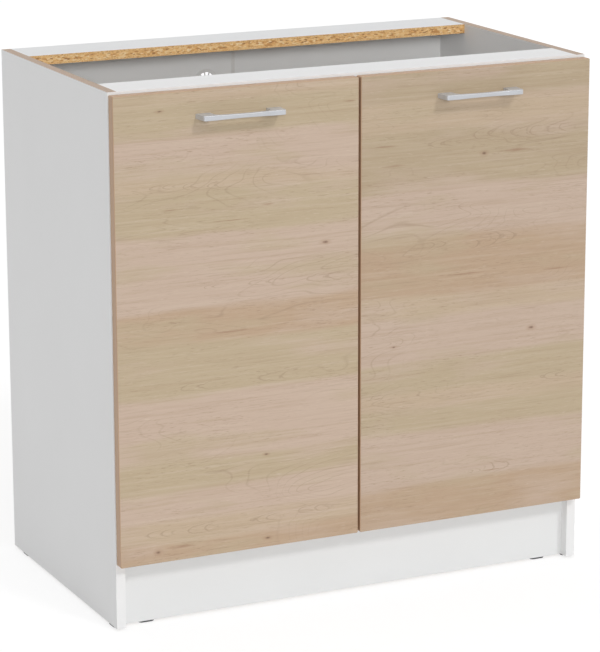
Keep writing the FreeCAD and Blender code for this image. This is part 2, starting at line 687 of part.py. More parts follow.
# ---- Hinges -----------------------------------------------------------------------------
# Each hinge piece is drawn once in the hinge plane, about the hinge centre, and then set at
# both levels of the left side. The right-hand pieces are mirror images.
def placed(shape, z):
    return shape.translated(hinge_origin(z))


def plate(outline_face, z0, z1):
    """A flat plate cut from an outline in the hinge plane."""
    return outline_face.translated(Z_AXIS * z0).extrude(Z_AXIS * (z1 - z0))


def elbow_path(start, corner, end, radius):
    """Straight, arc, straight: tangent at both ends of the arc."""
    first = (start - corner).normalize()
    second = (end - corner).normalize()
    half = first.getAngle(second) / 2
    leave = corner + first * (radius / math.tan(half))
    meet = corner + second * (radius / math.tan(half))
    centre = corner + (first + second).normalize() * (radius / math.sin(half))
    crown = centre + (corner - centre).normalize() * radius
    return Part.Wire([
        Part.LineSegment(start, leave).toShape(),
        Part.Arc(leave, crown, meet).toShape(),
        Part.LineSegment(meet, end).toShape(),
    ])


def link_band(start, corner, end, radius):
    path = elbow_path(start, corner, end, radius)
    return Part.Face(path.makeOffset2D(LINK_WIDTH / 2, 0, False, False))


def eye_radius():
    return PIN_RADIUS + PIN_CLEARANCE + EYE_WALL


def bar_between(start, end, radius, z0, z1):
    """A round-ended bar between two points of the hinge plane."""
    along = (end - start).normalize()
    across = Z_AXIS.cross(along)
    middle = (start + end) / 2 + Z_AXIS * z0
    length = (end - start).Length + 2 * radius
    return stadium(middle, along, across, length, 2 * radius, z1 - z0)


def upright(point, radius, z0, z1):
    """A round bar along the pins, in the hinge plane."""
    return rod(Vector(point.x, point.y, z0), Z_AXIS, radius, z1 - z0)


def outer_link():
    """One wide bar; its cup end has a slot for the pin's small wander."""
    half = OUTER_LINK_HALF
    band = plate(link_band(OUTER_ARM_PIVOT, OUTER_ELBOW, OUTER_CUP_PIVOT,
                           OUTER_ELBOW_RADIUS), -half, half)
    arm_eye = upright(OUTER_ARM_PIVOT, eye_radius(), -half, half)
    slot_half = PIN_RADIUS + PIN_CLEARANCE + SLOT_SIDE_PLAY
    slot = bar_between(OUTER_CUP_PIVOT, SLOT_END, slot_half, -half, half)
    rim = bar_between(OUTER_CUP_PIVOT, SLOT_END, slot_half + EYE_WALL, -half, half)
    body = fused([band, arm_eye, rim])
    return body.cut([slot, upright(OUTER_ARM_PIVOT, PIN_RADIUS + PIN_CLEARANCE, -half, half)])


def inner_link():
    """Two cheeks outside the outer link, tied by a short bridge behind the arm pin."""
    outline = link_band(INNER_ARM_PIVOT, INNER_ELBOW, INNER_CUP_PIVOT, INNER_ELBOW_RADIUS)
    cheeks = []
    for side in (-1, 1):
        z0, z1 = sorted((side * INNER_CHEEK_IN, side * INNER_CHEEK_OUT))
        body = fused([
            plate(outline, z0, z1),
            upright(INNER_ARM_PIVOT, eye_radius(), z0, z1),
            upright(INNER_CUP_PIVOT, eye_radius(), z0, z1),
        ])
        holes = [upright(p, PIN_RADIUS + PIN_CLEARANCE, z0, z1)
                 for p in (INNER_ARM_PIVOT, INNER_CUP_PIVOT)]
        cheeks.append(body.cut(holes))
    along = (INNER_ELBOW - INNER_ARM_PIVOT).normalize()
    start = INNER_ARM_PIVOT + along * (eye_radius() + BRIDGE_GAP)
    bridge = bar_between(start, start + along * BRIDGE_LENGTH, LINK_WIDTH / 2,
                         -INNER_CHEEK_IN, INNER_CHEEK_IN)
    return fused(cheeks + [bridge])


def arm_outline():
    """The side of the arm: low over the mounting plate, tall at the pivots."""
    top = BOARD + ARM_TOP
    nose_top = BOARD + ARM_NOSE_TOP
    foot = BOARD + ARM_FOOT
    pivot = OUTER_ARM_PIVOT
    back_pivot = INNER_ARM_PIVOT
    nose_front = pivot.y - ARM_EYE_RADIUS
    points = [
        Vector(nose_top, nose_front + ARM_EYE_RADIUS / 2, 0),
        Vector(nose_top, ARM_NOSE_REAR, 0),
        Vector(top, ARM_NOSE_REAR + nose_top - top, 0),
        Vector(top, ARM_REAR, 0),
        Vector(foot, ARM_REAR, 0),
        Vector(foot, ARM_NOSE_REAR, 0),
        Vector(back_pivot.x - ARM_EYE_RADIUS, back_pivot.y - ARM_EYE_RADIUS, 0),
        Vector(pivot.x - ARM_EYE_RADIUS, nose_front + ARM_EYE_RADIUS / 2, 0),
        Vector(pivot.x - ARM_EYE_RADIUS / 2, nose_front, 0),
        Vector(nose_top - ARM_EYE_RADIUS / 2, nose_front, 0),
    ]
    return Part.Face(Part.makePolygon(points + points[:1]))


def hinge_arm():
    """A folded channel: two cheeks that hold the pins, and the web along the back."""
    outline = arm_outline()
    solid = plate(outline, -ARM_CHEEK_OUT, ARM_CHEEK_OUT)
    top = BOARD + ARM_TOP
    nose_top = BOARD + ARM_NOSE_TOP
    foot = BOARD
    front = OUTER_ARM_PIVOT.y - 2 * ARM_EYE_RADIUS
    shoulder = ARM_NOSE_REAR - ARM_WEB
    rear = ARM_REAR + ARM_WEB
    hollow_points = [
        Vector(foot, front, 0),
        Vector(nose_top - ARM_WEB, front, 0),
        Vector(nose_top - ARM_WEB, shoulder, 0),
        Vector(top - ARM_WEB, shoulder + nose_top - top, 0),
        Vector(top - ARM_WEB, rear, 0),
        Vector(foot, rear, 0),
    ]
    hollow = plate(Part.Face(Part.makePolygon(hollow_points + hollow_points[:1])),
                   -ARM_CHEEK_IN, ARM_CHEEK_IN)
    bores = [upright(p, PIN_RADIUS, -ARM_CHEEK_OUT, ARM_CHEEK_OUT)
             for p in (OUTER_ARM_PIVOT, INNER_ARM_PIVOT)]
    bores += [rod(p, X_AXIS * -1, ARM_SCREW_RADIUS, 2 * ARM_WEB) for p in arm_screw_places()]
    return solid.cut([hollow] + bores)


def arm_pins():
    return [upright(p, PIN_RADIUS, -ARM_CHEEK_OUT, ARM_CHEEK_OUT)
            for p in (OUTER_ARM_PIVOT, INNER_ARM_PIVOT)]


def arm_screw_places():
    top = BOARD + ARM_TOP
    rear = ARM_REAR - ARM_SCREW_REAR_INSET
    return [Vector(top, d, 0) for d in (rear, rear - ARM_SCREW_STEP)]


def arm_screws():
    """The fixing screw and the side adjusting screw, both driven into the plate's spine."""
    reach = ARM_TOP - PLATE_BASE
    return [pan_screw(p, X_AXIS * -1, ARM_SCREW_RADIUS, reach, ARM_SCREW_HEAD_RADIUS,
                      ARM_SCREW_HEAD) for p in arm_screw_places()]


def plate_screw_places():
    return [Vector(BOARD + PLATE_BASE, HOLE_SETBACK, side * HOLE_PITCH / 2)
            for side in (-1, 1)]


def plate_screws():
    return [pan_screw(p, X_AXIS * -1, PLATE_SCREW_RADIUS, PLATE_BASE + PLATE_SCREW_LENGTH,
                      PLATE_SCREW_HEAD_RADIUS, PLATE_SCREW_HEAD) for p in plate_screw_places()]


def mounting_plate():
    """A cross-shaped plate: wings on the system holes and a raised spine for the arm."""
    wing = stadium(Vector(BOARD, HOLE_SETBACK, 0), Z_AXIS, Y_AXIS * -1,
                   HOLE_PITCH + 2 * PLATE_WING_MARGIN, PLATE_WING_WIDTH, PLATE_BASE)
    base = box(BOARD, BOARD + PLATE_BASE, PLATE_SPINE_FRONT, PLATE_SPINE_REAR,
               -PLATE_WING_WIDTH / 2, PLATE_WING_WIDTH / 2)
    spine = box(BOARD, BOARD + PLATE_SPINE_HEIGHT, PLATE_SPINE_FRONT, PLATE_SPINE_REAR,
                -PLATE_SPINE_HALF, PLATE_SPINE_HALF)
    top = BOARD + PLATE_SPINE_HEIGHT
    slope = [e for e in spine.Edges if abs(e.BoundBox.XMin - top) < NEAR
             and e.BoundBox.ZLength > PLATE_SPINE_HALF]
    spine = spine.makeChamfer(PLATE_SPINE_SLOPE, slope)
    body = fused([wing, base, spine])
    bores = [rod(p, X_AXIS * -1, PLATE_SCREW_RADIUS, PLATE_BASE) for p in plate_screw_places()]
    bores += [rod(p, X_AXIS * -1, ARM_SCREW_RADIUS, ARM_TOP - PLATE_BASE)
              for p in arm_screw_places()]
    return body.cut(bores)


def cup_cheek_edge():
    """How far the pin cheeks reach into the cup, from the door-edge side."""
    return OUTER_CUP_PIVOT.x + eye_radius() + EYE_WALL


def hinge_cup():
    """A drawn cup with a winged flange and two inner cheeks that hold the link pins."""
    outward = Y_AXIS * -1
    shell = rod(CUP_ORIGIN, outward, CUP_RADIUS, CUP_DEPTH - CUP_CLEARANCE)
    rim = rod(CUP_ORIGIN, Y_AXIS, CUP_BORE_RADIUS + CUP_RIM, CUP_FLANGE)
    wings = stadium(CUP_ORIGIN + X_AXIS * CUP_SCREW_SHIFT, Z_AXIS, X_AXIS,
                    CUP_WING_LENGTH, CUP_WING_WIDTH, CUP_FLANGE)
    body = fused([shell, rim, wings])
    cavity_depth = CUP_DEPTH - CUP_CLEARANCE - CUP_FLOOR
    cavity = rod(CUP_ORIGIN + Y_AXIS * CUP_FLANGE, outward, CUP_RADIUS - CUP_WALL,
                 cavity_depth + CUP_FLANGE)
    cheeks = []
    for side in (-1, 1):
        z0, z1 = sorted((side * ARM_CHEEK_IN, side * CUP_RADIUS))
        cheeks.append(box(0, cup_cheek_edge(), CUP_SEAT - CUP_DEPTH, CUP_SEAT, z0, z1))
    cavity = cavity.cut(cheeks)
    bores = [upright(p, PIN_RADIUS, -cup_pin_half(p), cup_pin_half(p))
             for p in (OUTER_CUP_PIVOT, INNER_CUP_PIVOT)]
    bores += [rod(p + Y_AXIS * CUP_FLANGE, outward, CUP_SCREW_RADIUS, CUP_FLANGE)
              for p in cup_screw_places()]
    return body.cut([cavity] + bores)


def cup_pin_half(point):
    """Half the length of a cup pin: it ends inside the cup's wall."""
    offset = CUP_CENTRE - point.x + PIN_RADIUS
    return math.sqrt(CUP_RADIUS ** 2 - offset ** 2) - CUP_WALL / 2


def cup_pins():
    """One long pin for the outer link, and a short pin at each side for the inner link."""
    long_half = cup_pin_half(OUTER_CUP_PIVOT)
    pins = [upright(OUTER_CUP_PIVOT, PIN_RADIUS, -long_half, long_half)]
    short_end = cup_pin_half(INNER_CUP_PIVOT)
    pins.append(upright(INNER_CUP_PIVOT, PIN_RADIUS, INNER_CHEEK_IN, short_end))
    pins.append(upright(INNER_CUP_PIVOT, PIN_RADIUS, -short_end, -INNER_CHEEK_IN))
    return pins


def cup_screws():
    return [pan_screw(p + Y_AXIS * CUP_FLANGE, Y_AXIS * -1, CUP_SCREW_RADIUS,
                      CUP_FLANGE + CUP_SCREW_LENGTH, CUP_SCREW_HEAD_RADIUS, CUP_SCREW_HEAD)
            for p in cup_screw_places()]


# ---- The whole cabinet ------------------------------------------------------------------
def save_carcass():
    save_pair("side_panel", side_panel())
    save("bottom_panel", bottom_panel())
    save("front_top_rail", cross_board("front_rail", FRONT_Y, FRONT_Y + FRONT_RAIL_DEPTH,
                                       RAIL_UNDERSIDE, HEIGHT, BOARD))
    save("rear_top_rail", cross_board("rear_rail", REAR_RAIL_FRONT_Y, BACK_Y,
                                      RAIL_UNDERSIDE, HEIGHT, BOARD))
    save("plinth_board", plinth_board())
    save("back_panel_left", vented_back_sheet())
    save("back_panel_right", mirrored(back_sheet()))
    save("back_joining_strip", joining_strip())
    save("vent_grille", vent_grille())
    glides = [glide(x, y, Y_AXIS * -1, X_AXIS) for x, y in side_glide_places()]
    save("side_panel_glides", group(both_sides(glides)))
    save("plinth_glides", group([glide(x, y, X_AXIS, Y_AXIS) for x, y in plinth_glide_places()]))


def save_board_fittings():
    housings = []
    bolts = []
    dowels = []
    for name, joints in board_joints().items():
        thickness = PLINTH_THICKNESS if name == "plinth" else BOARD
        for joint in joints:
            housings.append(cam_housing(joint, thickness))
            bolts.append(cam_bolt(joint))
            dowels += [dowel(p) for p in dowel_places(joint)]
    upright_dowels = [plinth_dowel(p) for p in plinth_dowel_places()]
    save("cam_housings", group(both_sides(housings)))
    save("cam_bolts", group(both_sides(bolts)))
    save("wooden_dowels", group(both_sides(dowels) + upright_dowels))


def save_doors():
    save_pair("door_panel", door_panel())
    save_pair("handle", drilled_handle())
    save_pair("handle_screws", group(handle_screws()))
    save_pair("door_bumpers", group([bumper(p) for p in bumper_places()]))


def save_hinges():
    single = {
        "mounting_plate": mounting_plate(),
        "hinge_arm": hinge_arm(),
        "inner_link": inner_link(),
        "outer_link": outer_link(),
        "hinge_cup": hinge_cup(),
    }
    for level, z in HINGE_LEVELS.items():
        for name, shape in single.items():
            save_pair(level + "_" + name, placed(shape, z))
    shared = {
        "arm_pins": arm_pins(),
        "arm_screws": arm_screws(),
        "plate_screws": plate_screws(),
        "cup_pins": cup_pins(),
        "cup_screws": cup_screws(),
    }
    for name, shapes in shared.items():
        levels = HINGE_LEVELS.values()
        save_pair(name, group([placed(s, z) for z in levels for s in shapes]))


save_carcass()
save_board_fittings()
save_doors()
save_hinges()
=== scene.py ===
import math

import bmesh
import bpy
from mathutils import Matrix, Vector


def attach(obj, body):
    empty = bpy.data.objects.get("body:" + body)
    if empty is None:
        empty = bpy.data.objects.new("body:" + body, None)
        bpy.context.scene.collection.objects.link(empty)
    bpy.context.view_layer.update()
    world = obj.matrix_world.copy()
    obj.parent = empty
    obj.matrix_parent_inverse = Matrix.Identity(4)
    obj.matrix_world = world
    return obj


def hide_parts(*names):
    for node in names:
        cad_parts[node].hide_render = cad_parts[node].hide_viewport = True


# Sink base cabinet: materials, small fasteners, floor, light and camera.
# Everything is in metres in the frame of the CAD model: X right, Y back, Z up.

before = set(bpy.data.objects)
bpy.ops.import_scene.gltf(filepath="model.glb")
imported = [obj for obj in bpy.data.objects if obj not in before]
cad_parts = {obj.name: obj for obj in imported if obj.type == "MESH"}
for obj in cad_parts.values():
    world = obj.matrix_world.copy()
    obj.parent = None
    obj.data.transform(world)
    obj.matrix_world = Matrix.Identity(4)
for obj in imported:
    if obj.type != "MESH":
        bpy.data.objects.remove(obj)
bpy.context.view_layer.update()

# ---- Sizes repeated from the cabinet -----------------------------------------------------
FRONT_Y = -0.2034             # front edges of the side panels
BACK_FACE_Y = 0.2476          # outer face of the back sheets
BOARD = 0.015                 # thickness of the carcass boards
HALF_WIDTH = 0.400
SIDE_MIDDLE = HALF_WIDTH - BOARD / 2
BOTTOM_AXIS = 0.1145          # middle of the bottom panel
RAIL_AXIS = 0.8175            # middle of the top rails
PLINTH_MIDDLE = FRONT_Y + 0.0245
DOOR_FRONT_Y = -0.2214
DOOR_BACK_Y = -0.2054
DOOR_BOTTOM = 0.105
DOOR_TOP = 0.821
HINGE_LEVELS = (0.191, 0.735)
BAND = 0.0006                 # depth of a carcass board's edge band
BAND_OUTER = 0.0035           # where the doors' bands are told from their faces: from the
BAND_INNER = 0.0045           # cabinet's outer faces, from its middle plane,
BAND_END = 0.0025             # and from a door's top and bottom


def tone(r, g, b):
    """A colour from 0 to 255 per channel, as it looks on screen, in linear light."""
    out = []
    for c in (r, g, b):
        c = c / 255
        out.append(c / 12.92 if c <= 0.04045 else ((c + 0.055) / 1.055) ** 2.4)
    return (*out, 1.0)


# ---- Node helper -------------------------------------------------------------------------
class Graph:
    """One material's node tree, with a short call for each kind of node."""

    def __init__(self, name, roughness=0.5, metallic=0.0):
        self.material = bpy.data.materials.new(name)
        self.material.use_nodes = True
        self.tree = self.material.node_tree
        self.shader = self.tree.nodes["Principled BSDF"]
        self.shader.inputs["Roughness"].default_value = roughness
        self.shader.inputs["Metallic"].default_value = metallic
        coords = self.tree.nodes.new("ShaderNodeTexCoord")
        self.place = coords.outputs["Object"]
        self.x, self.y, self.z = self.split(self.place)
        self.nx, self.ny, self.nz = self.split(coords.outputs["Normal"])

    def make(self, kind, out, *feeds, **settings):
        node = self.tree.nodes.new("ShaderNode" + kind)
        for key, value in settings.items():
            setattr(node, key, value)
        for socket, value in feeds:
            if isinstance(value, bpy.types.NodeSocket):
                self.tree.links.new(value, node.inputs[socket])
            elif value is not None:
                node.inputs[socket].default_value = value
        return node.outputs[out]

    def split(self, vector):
        node = self.tree.nodes.new("ShaderNodeSeparateXYZ")
        self.tree.links.new(vector, node.inputs[0])
        return node.outputs[0], node.outputs[1], node.outputs[2]

    def math(self, operation, a, b=None):
        return self.make("Math", 0, (0, a), (1, b), operation=operation)

    def add(self, a, b):
        return self.math("ADD", a, b)

    def times(self, a, b):
        return self.math("MULTIPLY", a, b)

    def over(self, a, limit):
        return self.math("GREATER_THAN", a, limit)

    def under(self, a, limit):
        return self.math("LESS_THAN", a, limit)

    def away(self, a):
        return self.math("ABSOLUTE", a)

    def noise(self, vector, scale=1.0, detail=3.0, rough=0.5, distortion=0.0):
        return self.make("TexNoise", "Fac", ("Vector", vector), ("Scale", scale),
                         ("Detail", detail), ("Roughness", rough),
                         ("Distortion", distortion))

    def cells(self, vector, scale):
        return self.make("TexVoronoi", "Color", ("Vector", vector), ("Scale", scale))

    def ramp(self, factor, stops):
        node = self.tree.nodes.new("ShaderNodeValToRGB")
        self.tree.links.new(factor, node.inputs[0])
        ramp = node.color_ramp
        while len(ramp.elements) < len(stops):
            ramp.elements.new(0.5)
        ordered = sorted(stops, key=lambda stop: stop[0])
        for element, (position, colour) in zip(ramp.elements, ordered):
            element.position = position
            element.color = colour
        return node.outputs[0]

    def span(self, value, low, high, to_low=0.0, to_high=1.0):
        return self.make("MapRange", 0, (0, value), (1, low), (2, high), (3, to_low),
                         (4, to_high))

    def mix(self, factor, a, b, blend="MIX"):
        return self.make("Mix", 2, (0, factor), (6, a), (7, b), data_type="RGBA",
                         blend_type=blend)

    def grey(self, value):
        """A number as a grey colour."""
        return self.make("CombineColor", 0, (0, value), (1, value), (2, value))

    def paint(self, colour, rough, bump, depth, strength):
        """Colour, roughness (the shader's own where it is None) and a bump in metres."""
        for socket, value in (("Base Color", colour), ("Roughness", rough)):
            if value is not None:
                self.tree.links.new(value, self.shader.inputs[socket])
        normal = self.make("Bump", 0, ("Height", bump), ("Strength", strength),
                           ("Distance", depth))
        self.tree.links.new(normal, self.shader.inputs["Normal"])
        return self.material


def stretched(g, sx, sy, sz, shift=(0, 0, 0)):
    """The object's own coordinates, scaled per axis."""
    return g.make("Mapping", 0, ("Vector", g.place), ("Location", shift),
                  ("Scale", (sx, sy, sz)))


# ---- Chipboard and melamine --------------------------------------------------------------
CHIP_TONES = (
    (0.00, tone(150, 94, 44)),
    (0.14, tone(196, 136, 72)),
    (0.32, tone(228, 176, 108)),
    (0.58, tone(240, 196, 132)),
    (0.82, tone(246, 210, 152)),
    (1.00, tone(250, 228, 186)),
)


def chips(g, axis, middle, pale=0.0):
    """Raw chipboard: coarse flakes in the core, fine dust towards both faces."""
    squeeze = [1.0, 1.0, 1.0]
    squeeze[axis] = 2.4
    bent = stretched(g, *squeeze)
    coarse = g.cells(bent, 210.0)
    fine = g.cells(bent, 620.0)
    along = (g.x, g.y, g.z)[axis]
    depth = g.math("DIVIDE", g.away(g.add(along, -middle)), BOARD / 2)
    wander = g.noise(g.place, 90.0, 2.0)
    skin = g.span(g.add(depth, g.times(wander, 0.3)), 0.66, 0.80)
    pick = g.mix(skin, coarse, fine)
    red, green, _ = g.split(pick)
    flakes = g.ramp(red, CHIP_TONES)
    shade = g.noise(bent, 1400.0, 2.0, 0.6)
    flakes = g.mix(0.22, flakes, g.ramp(shade, ((0.3, tone(176, 122, 68)),
                                                (0.7, tone(248, 222, 180)))))
    # Dark spots where the chipboard has voids between its flakes: painted shade in the pits,
    # which the bump does not cut.
    pit_shade = g.under(g.noise(bent, 420.0, 3.0, 0.6), 0.37)
    colour = g.mix(g.times(pit_shade, 0.55), flakes, tone(124, 76, 36))
    if pale:
        colour = g.mix(pale, colour, tone(188, 171, 159))
    height = g.add(g.times(green, 0.5), g.times(shade, 0.5))
    return colour, height


def melamine(g, base):
    """A pearled white melamine face: faint clouds in tone and a fine pitted grain."""
    cloud = g.noise(g.place, 5.0, 3.0)
    speck = g.noise(g.place, 700.0, 2.0)
    low = tuple(c * 0.985 for c in base[:3]) + (1.0,)
    high = tuple(min(1.0, c * 1.012) for c in base[:3]) + (1.0,)
    blend = g.add(g.times(cloud, 0.7), g.times(speck, 0.3))
    colour = g.ramp(blend, ((0.35, low), (0.65, high)))
    return colour, speck, cloud


def board(name, axis, middle, banded=True, base=tone(238, 238, 238), pale=0.0):
    """A melamine board whose faces lie across an axis; its edges are raw or banded."""
    g = Graph(name, roughness=0.42)
    g.shader.inputs["Specular IOR Level"].default_value = 0.35
    face_colour, speck, cloud = melamine(g, base)
    chip_colour, chip_height = chips(g, axis, middle, pale)
    face = g.over(g.away((g.nx, g.ny, g.nz)[axis]), 0.7)
    covered = face
    if banded:
        band = g.times(g.under(g.y, FRONT_Y + BAND), g.under(g.ny, -0.5))
        covered = g.math("MAXIMUM", face, band)
    colour = g.mix(covered, chip_colour, face_colour)
    rough = g.span(g.add(covered, g.times(cloud, -0.12)), 0.0, 1.0, 0.85, 0.38)
    bump = g.add(g.times(g.times(speck, covered), 0.08),
                 g.times(chip_height, g.math("SUBTRACT", 1.0, covered)))
    return g.paint(colour, rough, bump, 0.0004, 0.6)


# ---- Wood decor of the doors -------------------------------------------------------------
ROSE = tone(197, 175, 157)
SAND = tone(193, 172, 147)
OLIVE = tone(187, 169, 141)
MOSS = tone(182, 163, 136)
BROWN = tone(186, 160, 134)
RING = tone(150, 126, 102)
PORE = tone(146, 118, 93)

# Staves of the print from the top of a door to its bottom: where each ends, as a share of
# the door's height, and its tone.
LEFT_STAVES = ((0.025, SAND), (0.100, OLIVE), (0.185, ROSE), (0.215, SAND), (0.300, OLIVE),
               (0.455, ROSE), (0.530, BROWN), (0.640, OLIVE), (0.785, ROSE), (0.845, OLIVE),
               (0.905, ROSE), (0.960, SAND), (1.000, BROWN))
RIGHT_STAVES = ((0.065, MOSS), (0.130, SAND), (0.255, MOSS), (0.365, ROSE), (0.485, BROWN),
                (0.530, SAND), (0.630, ROSE), (0.700, OLIVE), (0.740, SAND), (0.797, OLIVE),
                (0.910, ROSE), (1.000, BROWN))

# Knots: place across the door and up, half length, half height (metres).
LEFT_KNOTS = ((-0.338, 0.122, 0.0040, 0.0026), (-0.156, 0.119, 0.0046, 0.0018),
              (-0.158, 0.253, 0.0032, 0.0015), (-0.058, 0.574, 0.0050, 0.0022),
              (-0.326, 0.794, 0.0040, 0.0013))
RIGHT_KNOTS = ((0.214, 0.687, 0.0040, 0.0024), (0.302, 0.401, 0.0046, 0.0024),
               (0.059, 0.396, 0.0036, 0.0012))

# Brown spindles, in the same terms.
LEFT_SPINDLES = ((-0.298, 0.126, 0.0230, 0.0024), (-0.215, 0.452, 0.0380, 0.0018),
                 (-0.311, 0.646, 0.0160, 0.0012), (-0.153, 0.641, 0.0110, 0.0016),
                 (-0.215, 0.622, 0.0300, 0.0010), (-0.018, 0.786, 0.0120, 0.0016))
RIGHT_SPINDLES = ((0.268, 0.688, 0.0260, 0.0030), (0.040, 0.711, 0.0220, 0.0014),
                  (0.060, 0.680, 0.0200, 0.0016), (0.180, 0.500, 0.0420, 0.0012),
                  (0.235, 0.176, 0.0200, 0.0010), (0.345, 0.492, 0.0240, 0.0012))

# Loops of the growth rings: place of the crown, length (negative where it opens to the
# left), half height.
LEFT_LOOPS = ((-0.345, 0.681, 0.045, 0.0060), (-0.295, 0.679, 0.040, 0.0065),
              (-0.254, 0.677, 0.030, 0.0060), (-0.095, 0.520, 0.080, 0.0085),
              (-0.185, 0.523, 0.060, 0.0070), (-0.262, 0.524, 0.035, 0.0040),
              (-0.300, 0.373, 0.060, 0.0080), (-0.175, 0.374, 0.075, 0.0090),
              (-0.110, 0.155, 0.070, 0.0085), (-0.185, 0.151, 0.060, 0.0080),
              (-0.295, 0.149, 0.060, 0.0090), (-0.358, 0.150, 0.050, 0.0080))
RIGHT_LOOPS = ((0.115, 0.708, 0.055, 0.0080), (0.190, 0.717, 0.060, 0.0110),
               (0.258, 0.715, 0.070, 0.0120), (0.318, 0.716, 0.060, 0.0110),
               (0.242, 0.547, -0.060, 0.0100), (0.275, 0.553, -0.055, 0.0120),
               (0.150, 0.551, -0.045, 0.0080), (0.268, 0.181, -0.050, 0.0110),
               (0.215, 0.178, -0.030, 0.0050), (0.320, 0.318, 0.060, 0.0080))


def stave_stops(staves, blur=0.006):
    """Ramp stops: each stave keeps its tone and meets the next over a short way."""
    stops = []
    start = 0.0
    for end, colour in staves:
        stops.append((start + blur, colour))
        stops.append((end - blur, colour))
        start = end
    return stops


def reach_of(g, x, z, long, tall, wobble):
    """Distance from a place on the door, in half lengths across and half heights up."""
    across = g.math("DIVIDE", g.add(g.x, -x), long)
    up = g.math("DIVIDE", g.add(g.z, -z), tall)
    flat = g.add(g.times(across, across), g.times(up, up))
    return g.add(g.math("SQRT", flat), wobble)


def loop_lines(g, loops, wander):
    """Thin curved lines that crowd into each other, one set for each loop."""
    lines = None
    for x, z, long, tall in loops:
        across = g.math("DIVIDE", g.add(g.x, -x), long)
        up = g.math("DIVIDE", g.add(g.z, -z), tall)
        bow = g.add(g.times(up, up), g.times(across, -1.6))
        turns = g.add(g.times(bow, 1.5), wander)
        edge = g.away(g.add(g.math("FRACT", turns), -0.5))
        off = g.add(across, -0.42)
        away = g.add(g.times(off, g.times(off, 2.6)), g.times(up, g.times(up, 0.55)))
        part = g.times(g.span(edge, 0.16, 0.02), g.span(away, 0.95, 0.30))
        lines = part if lines is None else g.math("MAXIMUM", lines, part)
    return lines


def spots(g, places, wobble, outer, inner):
    """How strongly a point lies in one of several spots, from 0 to 1."""
    strongest = None
    for place in places:
        part = g.span(reach_of(g, *place, wobble), outer, inner)
        strongest = part if strongest is None else g.math("MAXIMUM", strongest, part)
    return strongest


def print_of(g, staves, knots, spindles, loops, seed, shade):
    """The decor print: staves in different tones, streaks, growth rings, pores and knots."""
    down = g.span(g.z, DOOR_TOP, DOOR_BOTTOM)
    sway = g.noise(stretched(g, 2.0, 2.0, 8.0, (seed, 0, 0)), 1.0, 3.0, 0.5)
    tones = g.ramp(g.add(down, g.times(g.add(sway, -0.5), 0.055)), stave_stops(staves))
    patch = g.noise(stretched(g, 4.0, 4.0, 19.0, (seed + 3, 0, 5)), 1.0, 3.0, 0.55)
    tones = g.mix(g.span(patch, 0.51, 0.66, 0.0, 0.72), tones, OLIVE)
    tones = g.mix(g.span(patch, 0.48, 0.33, 0.0, 0.68), tones, ROSE)

    # long soft streaks, and finer ones between them
    streak = g.noise(stretched(g, 4.5, 4.5, 170.0, (seed, 0, 1)), 1.0, 5.0, 0.6, 0.4)
    tones = g.mix(g.span(streak, 0.50, 0.72, 0.0, 0.36), tones, tone(170, 144, 118))
    tones = g.mix(g.span(streak, 0.48, 0.30, 0.0, 0.30), tones, tone(208, 190, 171))
    fine = g.noise(stretched(g, 14.0, 14.0, 620.0, (seed, 0, 7)), 1.0, 3.0, 0.5, 0.3)
    tones = g.mix(g.span(fine, 0.56, 0.74, 0.0, 0.30), tones, RING)

    # growth rings: contour lines of a field that is long across the door, then the loops
    field = g.noise(stretched(g, 2.6, 2.6, 12.0, (seed + 9, 0, 2)), 1.0, 2.0, 0.45, 0.6)
    turns = g.times(g.add(field, g.times(g.z, 0.3)), 26.0)
    edge = g.away(g.add(g.math("FRACT", turns), -0.5))
    where = g.noise(stretched(g, 4.0, 4.0, 11.0, (seed + 2, 0, 8)), 1.0, 2.0)
    ring = g.times(g.span(edge, 0.09, 0.0), g.span(where, 0.50, 0.64, 0.03, 0.34))
    wander = g.times(g.noise(g.place, 60.0, 3.0), 1.4)
    ring = g.math("MAXIMUM", ring, g.times(loop_lines(g, loops, wander), 0.42))
    tones = g.mix(ring, tones, RING)

    # pores: short dark dashes along the grain, and lighter flecks
    pore = g.noise(stretched(g, 70.0, 70.0, 1100.0, (seed, 0, 4)), 1.0, 2.0, 0.5)
    crowd = g.noise(stretched(g, 5.0, 5.0, 30.0, (seed + 5, 0, 0)), 1.0, 3.0)
    dash = g.times(g.span(pore, 0.60, 0.70), g.span(crowd, 0.38, 0.66, 0.06, 0.55))
    tones = g.mix(dash, tones, PORE)
    fleck = g.noise(stretched(g, 60.0, 60.0, 900.0, (seed + 7, 0, 3)), 1.0, 2.0)
    tones = g.mix(g.span(fleck, 0.64, 0.74, 0.0, 0.35), tones, tone(216, 200, 182))

    # spindles and knots
    wobble = g.times(g.add(g.noise(g.place, 190.0, 2.0), -0.5), 0.9)
    soft = g.times(g.add(g.noise(stretched(g, 60.0, 60.0, 700.0), 1.0, 2.0), -0.5), 1.6)
    tones = g.mix(g.times(spots(g, spindles, soft, 1.2, 0.1), 0.62), tones, tone(152, 116, 90))
    tones = g.mix(g.times(spots(g, knots, wobble, 2.6, 0.9), 0.34), tones, tone(160, 124, 98))
    tones = g.mix(g.times(spots(g, knots, wobble, 1.1, 0.3), 0.72), tones, tone(106, 78, 58))
    tones = g.mix(1.0, tones, (shade, shade, shade, 1.0), "MULTIPLY")
    return tones, dash, streak


